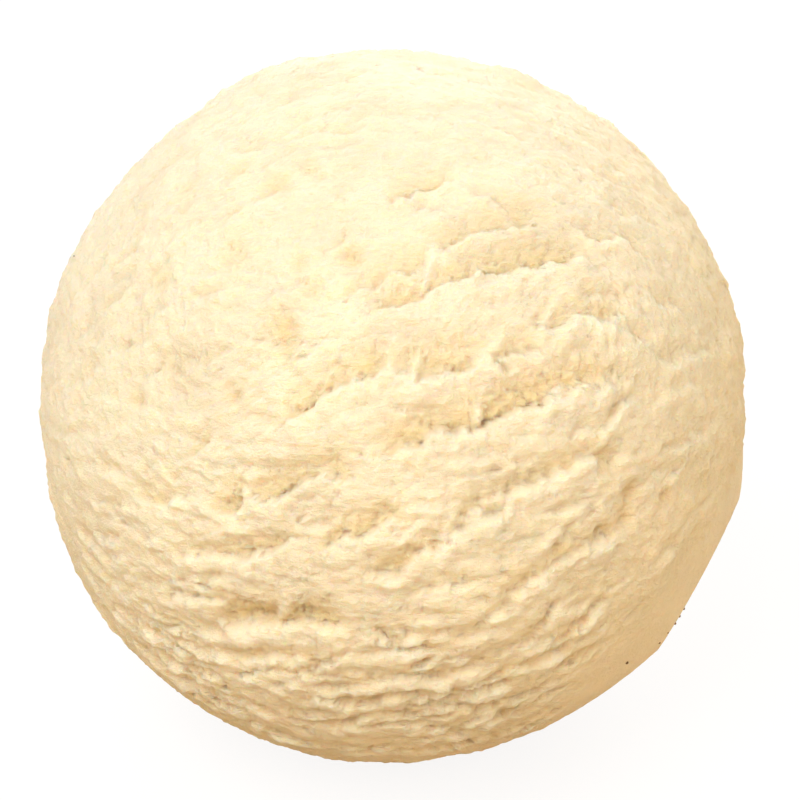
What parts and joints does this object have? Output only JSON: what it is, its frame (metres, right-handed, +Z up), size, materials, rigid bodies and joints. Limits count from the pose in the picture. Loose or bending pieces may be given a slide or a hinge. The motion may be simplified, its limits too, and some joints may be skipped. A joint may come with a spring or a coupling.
{
  "type": "ice cream scoop ball",
  "caption": "Round scoop of pale vanilla ice cream, rolled up by the scoop so that torn ragged lips run across its front, standing on a small flat foot; a filling for a dish, cone or tub",
  "frame": {"origin": "the centre of the flat foot that the ball stands on", "axes": "+Z up; X runs along the axis that the scoop rolled the ice cream about, and the torn front looks along -Y"},
  "size_m": [0.0614, 0.063, 0.0614],
  "materials": {
    "ice_cream": "matte frozen cream, pale warm vanilla, with darker cream in the torn hollows"
  },
  "bodies": {
    "root": {"ice_cream_scoop": "ice_cream"}
  },
  "joints": []
}
